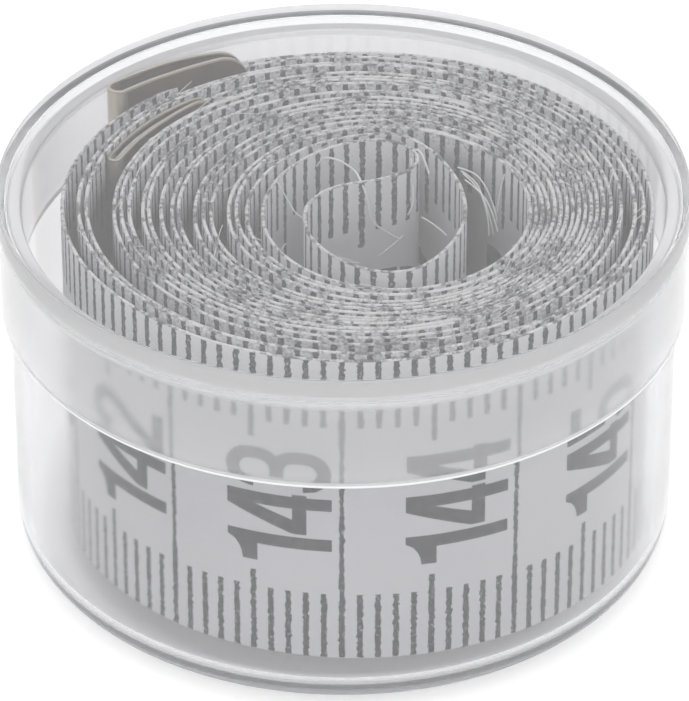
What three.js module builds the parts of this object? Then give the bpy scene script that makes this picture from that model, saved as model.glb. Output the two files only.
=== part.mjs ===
// Cloth tape measure, rolled from its middle into a flat coil and kept in a clear round plastic box
// with a press-on lid. A sheet-metal tip is folded over each end of the tape.
// Millimetres, +Z up, origin on the table under the middle of the box.

import * as THREE from "three";

// The tape: a coated cloth ribbon standing on its edge
const TAPE_WIDTH = 19.2;
const TAPE_THICKNESS = 0.2;

// How it is wound: both halves leave an S-bend in the middle and run outwards side by side
const TURN_GAP = 0.46;
const CORE_RADIUS = 7.45;
const HOLE_SHIFT = 1.3;
const HOLE_DIRECTION = THREE.MathUtils.degToRad(-28);
const BEND_DIRECTION = THREE.MathUtils.degToRad(81);
const END_DIRECTION = THREE.MathUtils.degToRad(146);
const SHORT_HALF_TURNS = 7;
const COVERING_TURNS = 3;
const STEPS_PER_TURN = 48;
const BEND_STEPS = 12;

// The outer end stands a little higher than the rest of the coil
const LONG_END_RISE = 0.6;
const RISE_SWEEP = THREE.MathUtils.degToRad(100);

// The folded metal tips
const TIP_LENGTH = 11;
const TIP_SHEET = 0.25;
const TIP_CLEARANCE = 0.25;
const TIP_OVERHANG = 0.25;
const TIP_CORNER = 1.6;
const TIP_SIDE_GAP = 0.3;

// How the coil lies in the box: against the right-hand wall, with its front raised
const COIL_SHIFT = 0.7;
const COIL_TILT = THREE.MathUtils.degToRad(1.55);
const SEAT_GAP = 0.3;
const SIDE_ROOM = 0.4;
const HEADROOM = 0.3;

// The box: a cup that holds the coil
const BASE_FLOOR = 1.0;
const BASE_WALL = 0.9;
const BASE_FOOT_ROUND = 2.0;
const BASE_FLOOR_ROUND = 1.2;
const BASE_RIM_ROUND = 0.35;

// The lid: a shallow cap that slips over the outside of the cup and grips its wall, so that its thick panel
// stays just clear of the cup's rim
const LID_PANEL = 1.35;
const LID_WALL = 0.45;
const LID_HEIGHT = 7.3;
const LID_FIT = 0.1;
const LID_SEAT = 0.45;
const LID_TOP_ROUND = 0.45;
const LID_INNER_ROUND = 0.2;
const LID_EDGE_ROUND = 0.2;

const ROUND_SEGMENTS = 72;
const ARC_STEPS = 5;
const FOLD_STEPS = 8;
const TIP_SIDE_STEPS = 8;

// Layers are counted outwards from the S-bend: the two halves share the layers until the short half ends,
// and from there the long half winds over it alone
const turnPitch = TAPE_THICKNESS + TURN_GAP;
const shortLayers = SHORT_HALF_TURNS + (END_DIRECTION - BEND_DIRECTION) / Math.PI;
const sharedLayers = shortLayers + 1;
const allLayers = sharedLayers + COVERING_TURNS;
const longSweep = sharedLayers * Math.PI + COVERING_TURNS * 2 * Math.PI;
const shortSweep = shortLayers * Math.PI;

// The short end's tip is thicker than the tape, so the layers beside it stand further apart
const tipThickness = TAPE_THICKNESS + 2 * (TIP_CLEARANCE + TIP_SHEET);
const tipSpacing = (tipThickness + TAPE_THICKNESS) / 2 + TIP_SIDE_GAP;
const tipExtra = Math.max(0, tipSpacing - turnPitch);
const tipSweepLayers = TIP_LENGTH / (Math.PI * CORE_RADIUS);
const tipLayersFrom = shortLayers - 1 - tipSweepLayers;

function direction(angle) {
  return new THREE.Vector2(Math.cos(angle), Math.sin(angle));
}

function layerRadius(layer) {
  const beside = THREE.MathUtils.clamp(layer, tipLayersFrom, sharedLayers) - tipLayersFrom;
  return CORE_RADIUS + (turnPitch + HOLE_SHIFT / allLayers) * layer + tipExtra * beside;
}

function layerCentre(layer) {
  return direction(HOLE_DIRECTION).multiplyScalar(HOLE_SHIFT * (1 - layer / allLayers));
}

function layerPoint(layer, angle) {
  return layerCentre(layer).add(direction(angle).multiplyScalar(layerRadius(layer)));
}

// A half's layer and point after it has swept an angle outwards from the S-bend
function longHalf(sweep) {
  const shared = Math.min(sweep / Math.PI, sharedLayers);
  const alone = Math.max(0, sweep - sharedLayers * Math.PI) / (2 * Math.PI);
  return layerPoint(shared + alone, BEND_DIRECTION + sweep);
}

function shortHalf(sweep) {
  return layerPoint(sweep / Math.PI, BEND_DIRECTION + Math.PI + sweep);
}

function longRise(sweep) {
  return LONG_END_RISE * THREE.MathUtils.smoothstep(sweep, longSweep - RISE_SWEEP, longSweep);
}

const lastLayerRadius = layerRadius(allLayers);
const coilReach = lastLayerRadius + TAPE_THICKNESS / 2;
const tipReach = lastLayerRadius + tipThickness / 2;

// Box sizes follow from the coil that lies in it
const coilLean = (TAPE_WIDTH / 2) * Math.sin(COIL_TILT);
const coilLift = coilReach * Math.sin(COIL_TILT);
const baseInner = Math.max(coilReach + COIL_SHIFT, tipReach) + coilLean + SIDE_ROOM;
const baseOuter = baseInner + BASE_WALL;
const coilMiddle = BASE_FLOOR + SEAT_GAP + coilLift + TAPE_WIDTH / 2;
const tipDrop = lastLayerRadius * Math.sin(END_DIRECTION) * Math.sin(COIL_TILT);
const coilTop = coilMiddle + TAPE_WIDTH / 2 + Math.max(coilLift, LONG_END_RISE + TIP_OVERHANG - tipDrop);
const lidUnderside = coilTop + HEADROOM;
const baseHeight = lidUnderside - LID_SEAT;
const lidTop = lidUnderside + LID_PANEL;
const lidInner = baseOuter + LID_FIT;
const lidOuter = lidInner + LID_WALL;
const lidEdge = lidTop - LID_HEIGHT;

// Points of an arc in a lathe profile, with angles in quarter turns from outwards towards upwards
function arc(x, y, radius, fromQuarter, toQuarter) {
  const points = [];
  for (let i = 0; i <= ARC_STEPS; i++) {
    const angle = (fromQuarter + ((toQuarter - fromQuarter) * i) / ARC_STEPS) * (Math.PI / 2);
    points.push(new THREE.Vector2(x + radius * Math.cos(angle), y + radius * Math.sin(angle)));
  }
  return points;
}

// A turned shell: the profile runs from the axis and back to it, and its axis is set upright
function turned(profile) {
  return new THREE.LatheGeometry(profile, ROUND_SEGMENTS).rotateX(Math.PI / 2);
}

function baseGeometry() {
  return turned([
    new THREE.Vector2(0, 0),
    ...arc(baseOuter - BASE_FOOT_ROUND, BASE_FOOT_ROUND, BASE_FOOT_ROUND, -1, 0),
    ...arc(baseOuter - BASE_RIM_ROUND, baseHeight - BASE_RIM_ROUND, BASE_RIM_ROUND, 0, 1),
    new THREE.Vector2(baseInner, baseHeight),
    ...arc(baseInner - BASE_FLOOR_ROUND, BASE_FLOOR + BASE_FLOOR_ROUND, BASE_FLOOR_ROUND, 0, -1),
    new THREE.Vector2(0, BASE_FLOOR),
  ]);
}

function lidGeometry() {
  return turned([
    new THREE.Vector2(0, lidUnderside),
    ...arc(lidInner - LID_INNER_ROUND, lidUnderside - LID_INNER_ROUND, LID_INNER_ROUND, 1, 0),
    ...arc(lidInner + LID_EDGE_ROUND, lidEdge + LID_EDGE_ROUND, LID_EDGE_ROUND, -2, -1),
    ...arc(lidOuter - LID_EDGE_ROUND, lidEdge + LID_EDGE_ROUND, LID_EDGE_ROUND, -1, 0),
    ...arc(lidOuter - LID_TOP_ROUND, lidTop - LID_TOP_ROUND, LID_TOP_ROUND, 0, 1),
    new THREE.Vector2(0, lidTop),
  ]);
}

// Left-hand normals along a path of stations, each {point, low, high}
function stationNormals(stations) {
  return stations.map((station, i) => {
    const before = stations[Math.max(0, i - 1)].point;
    const after = stations[Math.min(stations.length - 1, i + 1)].point;
    const along = after.clone().sub(before).normalize();
    return new THREE.Vector2(-along.y, along.x);
  });
}

// A closed ribbon standing on its edge along a path, flat at both ends
function ribbonGeometry(stations, thickness) {
  const normals = stationNormals(stations);
  const positions = [];
  const triangles = [];
  const CORNERS = 4;
  stations.forEach(({ point, low, high }, i) => {
    const left = point.clone().addScaledVector(normals[i], thickness / 2);
    const right = point.clone().addScaledVector(normals[i], -thickness / 2);
    positions.push(left.x, left.y, low, right.x, right.y, low);
    positions.push(right.x, right.y, high, left.x, left.y, high);
  });
  for (let i = 0; i + 1 < stations.length; i++) {
    for (let k = 0; k < CORNERS; k++) {
      const a = i * CORNERS + k;
      const b = i * CORNERS + ((k + 1) % CORNERS);
      triangles.push(a, a + CORNERS, b + CORNERS, a, b + CORNERS, b);
    }
  }
  const end = (stations.length - 1) * CORNERS;
  triangles.push(0, 1, 2, 0, 2, 3, end, end + 2, end + 1, end, end + 3, end + 2);
  const geometry = new THREE.BufferGeometry();
  geometry.setAttribute("position", new THREE.Float32BufferAttribute(positions, 3));
  geometry.setIndex(triangles);
  geometry.computeVertexNormals();
  return geometry;
}

function tapeStation(point, rise = 0) {
  return { point, low: rise - TAPE_WIDTH / 2, high: rise + TAPE_WIDTH / 2 };
}

// The tape's whole path: in along the long half, through the S-bend and out along the short half
function tapeStations() {
  const stations = [];
  const longSteps = Math.round((longSweep / (2 * Math.PI)) * STEPS_PER_TURN);
  for (let i = 0; i < longSteps; i++) {
    const sweep = longSweep * (1 - i / longSteps);
    stations.push(tapeStation(longHalf(sweep), longRise(sweep)));
  }
  const toBend = direction(BEND_DIRECTION).multiplyScalar(CORE_RADIUS / 2);
  for (const side of [1, -1]) {
    const centre = layerCentre(0).addScaledVector(toBend, side);
    for (let i = 0; i < BEND_STEPS; i++) {
      const angle = BEND_DIRECTION - (side * Math.PI * i) / BEND_STEPS;
      stations.push(tapeStation(centre.clone().addScaledVector(direction(angle), CORE_RADIUS / 2)));
    }
  }
  const shortSteps = Math.round((shortSweep / (2 * Math.PI)) * STEPS_PER_TURN);
  for (let i = 0; i <= shortSteps; i++) {
    stations.push(tapeStation(shortHalf((shortSweep * i) / shortSteps)));
  }
  return stations;
}

// A tip's sheet runs along one face of the tape, folds round its end and runs back along the other face
function tipStations(half, endSweep, rise) {
  const offset = TAPE_THICKNESS / 2 + TIP_CLEARANCE + TIP_SHEET / 2;
  const halfHeight = TAPE_WIDTH / 2 + TIP_OVERHANG;
  const endPoint = half(endSweep);
  const perRadian = endPoint.length();
  const tape = [];
  for (let i = 0; i <= ARC_STEPS; i++) {
    const turn = (i / ARC_STEPS) * (Math.PI / 2);
    const along = TIP_CORNER * (1 - Math.cos(turn));
    tape.push({ along, height: halfHeight - TIP_CORNER * (1 - Math.sin(turn)) });
  }
  for (let i = 1; i <= TIP_SIDE_STEPS; i++) {
    const along = TIP_CORNER + ((TIP_LENGTH - TIP_CORNER) * i) / TIP_SIDE_STEPS;
    tape.push({ along, height: halfHeight });
  }
  const path = tape.map(({ along }) => ({ point: half(endSweep - (TIP_LENGTH - along) / perRadian) }));
  const normals = stationNormals(path);
  const lift = rise(endSweep);
  const side = (i, sign) => ({
    point: path[i].point.clone().addScaledVector(normals[i], sign * offset),
    low: lift - tape[i].height,
    high: lift + tape[i].height,
  });
  const last = path.length - 1;
  const foldFrom = Math.atan2(-normals[last].y, -normals[last].x);
  const fold = [];
  for (let i = 1; i < FOLD_STEPS; i++) {
    const around = direction(foldFrom + (Math.PI * i) / FOLD_STEPS).multiplyScalar(offset);
    fold.push({ point: around.add(path[last].point), low: lift - halfHeight, high: lift + halfHeight });
  }
  const outer = path.map((_, i) => side(i, -1));
  const inner = path.map((_, i) => side(i, 1)).reverse();
  return [...outer, ...fold, ...inner];
}

// Least distance between two turns of the tape, face to face, measured at the stations
function leastGap(stations, thickness) {
  const quarterTurn = (Math.PI / 2) * CORE_RADIUS;
  const travelled = [0];
  for (let i = 1; i < stations.length; i++) {
    travelled.push(travelled[i - 1] + stations[i].point.distanceTo(stations[i - 1].point));
  }
  let least = Infinity;
  const toTurn = new THREE.Vector2();
  for (let i = 0; i < stations.length; i++) {
    for (let j = 1; j < stations.length; j++) {
      if (Math.abs(travelled[j] - travelled[i]) < quarterTurn) continue;
      if (Math.abs(travelled[j - 1] - travelled[i]) < quarterTurn) continue;
      const from = stations[j - 1].point;
      const run = stations[j].point.clone().sub(from);
      toTurn.copy(stations[i].point).sub(from);
      const share = THREE.MathUtils.clamp(toTurn.dot(run) / run.lengthSq(), 0, 1);
      least = Math.min(least, toTurn.addScaledVector(run, -share).length() - thickness);
    }
  }
  return { least, length: travelled[travelled.length - 1] };
}

function piece(name, geometry, material) {
  const mesh = new THREE.Mesh(geometry, material);
  mesh.name = name;
  return mesh;
}

const clearPlastic = {
  color: 0xe9edf0, roughness: 0.12, metalness: 0, transparent: true, opacity: 0.3,
};
const coatedCloth = { color: 0xf1f1ee, roughness: 0.7, metalness: 0 };
const tippedSteel = { color: 0xb9b2a4, roughness: 0.35, metalness: 1 };

const tape = tapeStations();
const winding = leastGap(tape, TAPE_THICKNESS);
console.log(`Least gap between turns: ${winding.least.toFixed(3)} mm`);
console.log(`Length of tape wound here: ${winding.length.toFixed(0)} mm`);

const coil = new THREE.Group();
coil.position.set(COIL_SHIFT, 0, coilMiddle);
coil.rotation.x = -COIL_TILT;
coil.add(
  piece("tape", ribbonGeometry(tape, TAPE_THICKNESS), new THREE.MeshStandardMaterial(coatedCloth)),
  piece(
    "long_end_tip",
    ribbonGeometry(tipStations(longHalf, longSweep, longRise), TIP_SHEET),
    new THREE.MeshStandardMaterial(tippedSteel),
  ),
  piece(
    "short_end_tip",
    ribbonGeometry(tipStations(shortHalf, shortSweep, () => 0), TIP_SHEET),
    new THREE.MeshStandardMaterial(tippedSteel),
  ),
);

const tapeMeasure = new THREE.Group();
tapeMeasure.add(
  piece("box_base", baseGeometry(), new THREE.MeshStandardMaterial(clearPlastic)),
  piece("box_lid", lidGeometry(), new THREE.MeshStandardMaterial(clearPlastic)),
  coil,
);

export default tapeMeasure;
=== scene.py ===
import math

import bmesh
import bpy
import numpy as np
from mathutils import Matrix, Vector


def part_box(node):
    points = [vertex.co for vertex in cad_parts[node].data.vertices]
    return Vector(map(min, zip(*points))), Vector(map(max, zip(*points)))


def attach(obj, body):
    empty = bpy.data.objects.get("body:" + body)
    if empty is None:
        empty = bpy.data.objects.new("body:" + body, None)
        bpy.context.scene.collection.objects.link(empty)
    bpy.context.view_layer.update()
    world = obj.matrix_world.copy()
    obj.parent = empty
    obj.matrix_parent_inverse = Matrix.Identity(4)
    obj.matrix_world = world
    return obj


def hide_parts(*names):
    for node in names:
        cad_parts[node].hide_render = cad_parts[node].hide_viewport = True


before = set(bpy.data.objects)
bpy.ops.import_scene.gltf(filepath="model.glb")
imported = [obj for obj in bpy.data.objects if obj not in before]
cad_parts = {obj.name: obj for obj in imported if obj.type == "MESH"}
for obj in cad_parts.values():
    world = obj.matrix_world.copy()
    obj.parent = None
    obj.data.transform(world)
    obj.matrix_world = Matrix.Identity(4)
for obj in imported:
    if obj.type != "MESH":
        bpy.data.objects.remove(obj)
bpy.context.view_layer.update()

# Lengths are in millimetres and angles in degrees unless noted. MM turns a length into metres.
MM = 0.001


# Camera
# The box is photographed from the front, a little over a third of the way up from level, from about 30 cm.
# The picture is 689 x 701 pixels, and the lens is given by its length in pixels.
CAMERA_DISTANCE = 300 * MM
CLIP_START = 10 * MM
CAMERA_RISE = math.radians(34.84)
CAMERA_AIM = Vector((0.058, 0, 11.363)) * MM
PICTURE_LONG_SIDE = 701
LENS_PIXELS = 5101
SENSOR_MM = 36.0

toward_camera = Vector((0, -math.cos(CAMERA_RISE), math.sin(CAMERA_RISE)))
bpy.ops.object.camera_add(location=CAMERA_AIM + CAMERA_DISTANCE * toward_camera)
camera = bpy.context.object
camera.rotation_euler = (math.pi / 2 - CAMERA_RISE, 0, 0)
camera.data.sensor_width = SENSOR_MM
camera.data.lens = LENS_PIXELS * SENSOR_MM / PICTURE_LONG_SIDE
camera.data.clip_start = CLIP_START
bpy.context.scene.camera = camera


# Tape
# A ribbon of white coated cloth, 19 mm wide and 150 cm long, printed on both faces. It is rolled from its
# middle, so an S-bend lies in the hole and both ends come out on the outside. It lies a little askew in the
# box, against the right-hand wall, with its front edge raised.
TAPE_WIDTH = 19.2
TAPE_THICKNESS = 0.22
CLOTH_EDGE_ROUND = 0.06
CLOTH_SMOOTH = math.radians(50)
WIDTH_ROWS = 5

# The winding in plan. The hole is off the coil's middle and a little long. The layers close up to the
# right, lie in loose clusters on the left, and leave room for the tips.
LAYER_PITCH = 0.336
HOLE_RADIUS = 7.3
HOLE_CENTRE = np.array((2.15, -1.15))
HOLE_STRETCH = 0.09
HOLE_EASE = 1.5
BEND_ANGLE = 81.0
BEND_START = 104.0
BEND_RETURN = 447.0
BEND_LEAD = 8
BEND_STEP = 0.45
SHORT_END_ANGLE = 162.0 + 360.0 * 8
LONG_END_ANGLE = 142.5 + 360.0 * 11
ANGLE_STEP = 2.5
TIP_ROOM = 0.24
TIP_ROOM_LAYERS = 1.3
OUTER_ROOM = 0.16
CLUSTER_LAYERS = 2.75
CLUSTER_SHARE = 0.19
CLUSTER_SKEW = 0.3
LONG_END_BULGE = 0.85
LONG_END_BULGE_SWEEP = 34.0

# How the edge rises and falls along the tape, with distances from the long end
LONG_END_RISE = 0.35
LONG_END_RISE_SWEEP = 50.0
SHORT_END_DROP = 0.35
SHORT_END_DROP_SWEEP = 60.0
EDGE_RIPPLE = 0.05
RIPPLE_LENGTH = 6.0
RIPPLE_SEED = 8
LAYER_UNEVEN = 0.2
UNEVEN_LENGTH = 34.0
UNEVEN_SEED = 5
UNEVEN_AFTER = (100, 150)
SECOND_TURN_RISE = 0.35
SECOND_TURN_AT = (150.0, 190.0, 240.0)

# How the coil stands in the box
COIL_SHIFT = 0.75
COIL_TILT = math.radians(2.05)
COIL_MIDDLE = 11.4

# Where the cloth lies between other layers: by radius about the hole and by distance from the long end
ROLLED_RADIUS = (8.2, 8.8)
ROLLED_AFTER = (104, 110)

short_layers = (SHORT_END_ANGLE - BEND_ANGLE - 180) / 180
shared_layers = short_layers + 1
all_layers = shared_layers + (LONG_END_ANGLE - SHORT_END_ANGLE) / 360
room_from = short_layers - TIP_ROOM_LAYERS

# The bend in the hole, in plan from the middle of the coil: from where the long half leaves the innermost
# layer to where the short half joins it
BEND_POINTS = [
    (2.45, 6.35), (3.35, 5.35), (3.55, 4.15), (2.75, 2.85), (1.05, 2.0), (-0.95, 1.4), (-2.3, 0.25),
    (-2.95, -1.6), (-2.65, -4.1), (-1.4, -6.2), (0.45, -7.65), (2.2, -8.0), (3.9, -7.2), (5.4, -5.0),
    (6.2, -2.2), (6.1, 0.9), (5.35, 3.5), (4.35, 5.5),
]


def smooth_share(value, low, high):
    share = np.clip((value - low) / (high - low), 0, 1)
    return share * share * (3 - 2 * share)


def layer_place(layer, angle_degrees):
    """Plan position of the tape's middle line in a layer counted outwards from the bend."""
    angle = math.radians(angle_degrees)
    inner_share = (1 - layer / all_layers) ** HOLE_EASE
    shift = np.linalg.norm(HOLE_CENTRE)
    room = TIP_ROOM * (min(max(layer, room_from), shared_layers) - room_from)
    room += OUTER_ROOM * max(0.0, layer - shared_layers)
    radius = HOLE_RADIUS + LAYER_PITCH * layer + shift * (1 - inner_share) + room
    away = math.atan2(HOLE_CENTRE[1], HOLE_CENTRE[0])
    loose = (0.5 - 0.5 * math.cos(angle - away)) ** 2
    beat = 2 * math.pi * layer / CLUSTER_LAYERS
    radius -= CLUSTER_SHARE * loose * (math.sin(beat) - CLUSTER_SKEW * math.sin(2 * beat))
    stretch = 1 + HOLE_STRETCH * (1 - layer / all_layers)
    return HOLE_CENTRE * inner_share + radius * np.array((math.cos(angle), stretch * math.sin(angle)))


def through_points(points, step):
    """A smooth line through given points, in steps of about the given length."""
    points = np.array(points, float)
    line = []
    for i in range(1, len(points) - 2):
        before, start, end, after = points[i - 1:i + 3]
        count = max(2, round(np.linalg.norm(end - start) / step))
        for t in np.arange(count) / count:
            line.append(0.5 * (2 * start + (end - before) * t
                               + (2 * before - 5 * start + 4 * end - after) * t ** 2
                               + (3 * start - before - 3 * end + after) * t ** 3))
    return line


def coil_line():
    """The tape's middle line in plan, from the long end in to the bend and out again to the short end."""
    line, rise = [], []
    covering_from = BEND_ANGLE + 180 * shared_layers
    lifts_from = LONG_END_ANGLE - LONG_END_RISE_SWEEP
    drops_from = SHORT_END_ANGLE - SHORT_END_DROP_SWEEP
    for angle in np.arange(LONG_END_ANGLE, BEND_START, -ANGLE_STEP):
        layer = (min(angle, covering_from) - BEND_ANGLE) / 180
        layer += max(0.0, angle - covering_from) / 360
        place = layer_place(layer, angle)
        outward = np.array((math.cos(math.radians(angle)), math.sin(math.radians(angle))))
        bulge = max(0.0, 1 - (LONG_END_ANGLE - angle) / LONG_END_BULGE_SWEEP) ** 2
        line.append(place + LONG_END_BULGE * bulge * outward)
        rise.append(LONG_END_RISE * smooth_share(angle, lifts_from, LONG_END_ANGLE))
    outgoing, drop = [], []
    for angle in np.arange(BEND_RETURN, SHORT_END_ANGLE + ANGLE_STEP / 2, ANGLE_STEP):
        outgoing.append(layer_place((angle - BEND_ANGLE - 180) / 180, angle))
        drop.append(SHORT_END_DROP * smooth_share(angle, drops_from, SHORT_END_ANGLE))
    bend = [line[-BEND_LEAD], line[-1], *BEND_POINTS, outgoing[0], outgoing[BEND_LEAD]]
    bend = through_points(bend, BEND_STEP)[1:]
    return np.array(line + bend + outgoing), np.concatenate([rise, np.zeros(len(bend)), -np.array(drop)])


def uneven(distance, period, seed):
    """A smooth, repeatable wander between -1 and 1 along the tape."""
    draws = np.random.default_rng(seed).uniform(-1, 1, int(distance[-1] / period) + 4)
    place = distance / period
    low = place.astype(int)
    share = smooth_share(place - low, 0, 1)
    return draws[low] * (1 - share) + draws[low + 1] * share


tape_line, tape_rise = coil_line()
tape_steps = np.linalg.norm(np.diff(tape_line, axis=0), axis=1)
tape_distance = np.concatenate([[0], np.cumsum(tape_steps)])
tape_length = tape_distance[-1]
tape_heading = np.gradient(tape_line, axis=0)
tape_heading /= np.linalg.norm(tape_heading, axis=1)[:, None]
tape_left = np.stack([-tape_heading[:, 1], tape_heading[:, 0]], axis=1)
rise_from, rise_at, rise_to = SECOND_TURN_AT
tape_base = tape_rise + EDGE_RIPPLE * uneven(tape_distance, RIPPLE_LENGTH, RIPPLE_SEED)
layers_uneven = uneven(tape_distance, UNEVEN_LENGTH, UNEVEN_SEED)
tape_base += LAYER_UNEVEN * layers_uneven * smooth_share(tape_distance, *UNEVEN_AFTER)
tape_base += SECOND_TURN_RISE * (
    smooth_share(tape_distance, rise_from, rise_at) - smooth_share(tape_distance, rise_at, rise_to))


def in_box(plan_x, plan_y, height):
    """From the coil's own plan and height above its lower edge to a place in the box, in metres."""
    up = np.asarray(height) - TAPE_WIDTH / 2
    y = np.asarray(plan_y) * math.cos(COIL_TILT) + up * math.sin(COIL_TILT)
    z = -np.asarray(plan_y) * math.sin(COIL_TILT) + up * math.cos(COIL_TILT)
    return np.stack([np.asarray(plan_x) + COIL_SHIFT, y, z + COIL_MIDDLE], axis=-1) * MM


def on_tape(distance, across, lift):
    """A place at a distance from the long end and across the width, lifted off the tape to its left."""
    at = [np.interp(distance, tape_distance, column) for column in (*tape_line.T, *tape_left.T, tape_base)]
    x, y, left_x, left_y, base = at
    size = np.hypot(left_x, left_y)
    return in_box(x + lift * left_x / size, y + lift * left_y / size, base + across)


def new_object(name, vertices, faces):
    mesh = bpy.data.meshes.new(name)
    mesh.from_pydata([tuple(v) for v in vertices], [], faces)
    mesh.update()
    thing = bpy.data.objects.new(name, mesh)
    bpy.context.scene.collection.objects.link(thing)
    return thing


def use_alone(thing):
    bpy.ops.object.select_all(action="DESELECT")
    thing.select_set(True)
    bpy.context.view_layer.objects.active = thing


def finish_modifier(thing, kind, **settings):
    modifier = thing.modifiers.new(kind.title(), kind)
    for name, value in settings.items():
        setattr(modifier, name, value)
    use_alone(thing)
    bpy.ops.object.modifier_apply(modifier=modifier.name)


def grid_faces(rows, columns):
    return [(r * columns + c, r * columns + c + 1, (r + 1) * columns + c + 1, (r + 1) * columns + c)
            for r in range(rows - 1) for c in range(columns - 1)]


row_heights = np.linspace(0, TAPE_WIDTH, WIDTH_ROWS + 1)
tape_points = np.concatenate([
    in_box(tape_line[:, 0], tape_line[:, 1], tape_base + height) for height in row_heights])
stations = len(tape_line)
tape = new_object("tape_cloth", tape_points, grid_faces(WIDTH_ROWS + 1, stations))
hole_distance = np.linalg.norm(tape_line - HOLE_CENTRE, axis=1)
rolled_share = smooth_share(hole_distance, *ROLLED_RADIUS) * smooth_share(tape_distance, *ROLLED_AFTER)
scale_map = tape.data.uv_layers.new(name="scale_cm")
rolled_map = tape.data.uv_layers.new(name="rolled_share")
for corner in tape.data.loops:
    row, station = divmod(corner.vertex_index, stations)
    scale_map.data[corner.index].uv = (tape_distance[station] / 10, row_heights[row] / 10)
    rolled_map.data[corner.index].uv = (rolled_share[station], 0)
finish_modifier(tape, "SOLIDIFY", thickness=TAPE_THICKNESS * MM, offset=0.0)
finish_modifier(tape, "BEVEL", width=CLOTH_EDGE_ROUND * MM, segments=1, limit_method="ANGLE")
use_alone(tape)
bpy.ops.object.shade_smooth_by_angle(angle=CLOTH_SMOOTH)


def linear(hex_colour):
    """An sRGB hex colour as the linear red, green, blue and alpha that a shader takes."""
    parts = [int(hex_colour[i:i + 2], 16) / 255 for i in (1, 3, 5)]
    return (*[p / 12.92 if p <= 0.04045 else ((p + 0.055) / 1.055) ** 2.4 for p in parts], 1.0)


def add(tree, kind, links=None, **settings):
    """A shader node with its settings and what its sockets take: a socket to link, or a plain value."""
    node = tree.nodes.new(kind)
    for name, value in settings.items():
        setattr(node, name, value)
    for socket, value in (links or {}).items():
        if isinstance(value, bpy.types.NodeSocket):
            tree.links.new(value, node.inputs[socket])
        else:
            node.inputs[socket].default_value = value
    return node


def new_material(name):
    material = bpy.data.materials.new(name)
    material.use_nodes = True
    material.node_tree.nodes.clear()
    return material, material.node_tree


# White coated cloth: a close weave sealed with a matt white coat, so it looks smooth and chalky, with fine
# threads only at the cut edges. Between the rolled layers the faces are grey in specks near the edge,
# partly rubbed wear and partly painted shade of frayed threads, and they darken deeper below the edge with
# painted shade in the gaps between layers. The cut edges are a little greyer than the faces, partly painted
# shade on the coil's top, and specked with painted shade among the frayed threads. The scale is printed in
# soft dark grey ink, with slightly ragged lines and pinholes.
CLOTH_WHITE = "#dededf"
CLOTH_SOILED = "#d0d0d3"
# Cut edges: a little greyer than the faces, partly painted shade on the coil's top, with dark grey specks
# of painted shade among the frayed threads
CUT_EDGE_WHITE = "#d6d5d5"
CUT_EDGE_SHADE_GREY = "#636366"
# Between the rolled layers: one dark grey for rubbed wear and for painted shade in the gaps
RUB_AND_SHADE_GREY = "#434347"
INK_GREY = "#2b2b31"
INK_WORN = "#5c5c62"
CLOTH_ROUGHNESS = 0.62
COAT_IOR = 1.45
CUT_EDGE = 0.08
THREAD_MM = 0.32
WEAVE_WAVE = {"Distortion": 0.6, "Detail": 1.0}
WEAVE_BUMP = {"Strength": 0.12, "Distance": 0.03 * MM}

# The printed scale. The end mark is the scale's place, in centimetres, at the tape's long end.
END_MARK = 150.055
SCALE_CM = 150
TICK_HALF_WIDTH = 0.165
LINE_HALF_WIDTH = 0.13
TICK_LENGTH = 3.9
FIVE_TICK_LENGTH = 5.0
PRINT_RAISED = 0.55
INK_RAGGED = 0.2

# Noises, here and below: spots per centimetre on the tape's own map, or per metre on Object coordinates
RAGGED_NOISE = {"Scale": 34.0, "Detail": 3.0, "Roughness": 0.65}
PINHOLE_NOISE = {"Scale": 52.0, "Detail": 2.0}
WEAR_NOISE = {"Scale": 18.0, "Detail": 4.0, "Roughness": 0.7}
SOIL_NOISE = {"Scale": 1.3, "Detail": 3.0}
RUB_AND_SHADE_NOISE = {"Scale": 38.0, "Detail": 3.0, "Roughness": 0.7}
# Specks of painted shade among the frayed threads of the cut edges, gathered in patches
FRAY_SHADE_NOISE = {"Scale": 2600.0, "Detail": 3.0, "Roughness": 0.7}
FRAY_SHADE_PATCH_NOISE = {"Scale": 480.0, "Detail": 2.0}
FRAY_SHADE_PATCH_SHARE = 0.6

# Ranges, as sockets of the node: from low and high, to low and high (0 and 1 if not given)
PINHOLE_RANGE = {1: 0.6, 2: 0.7, 3: 1.0, 4: 0.45}
WEAR_RANGE = {1: 0.45, 2: 0.75}
RUB_AND_SHADE_RANGE = {1: 0.42, 2: 0.64}
RUB_AND_SHADE_FROM_EDGE = {1: 0.0, 2: 1.7, 3: 0.8, 4: 0.0}
# Painted shade in the gaps between layers, darker deeper below the edge
GAP_SHADE_FROM_EDGE = {1: 0.25, 2: 2.5, 3: 0.0, 4: 0.9}
FRAY_SHADE_RANGE = {1: 0.74, 2: 0.92}

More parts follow.
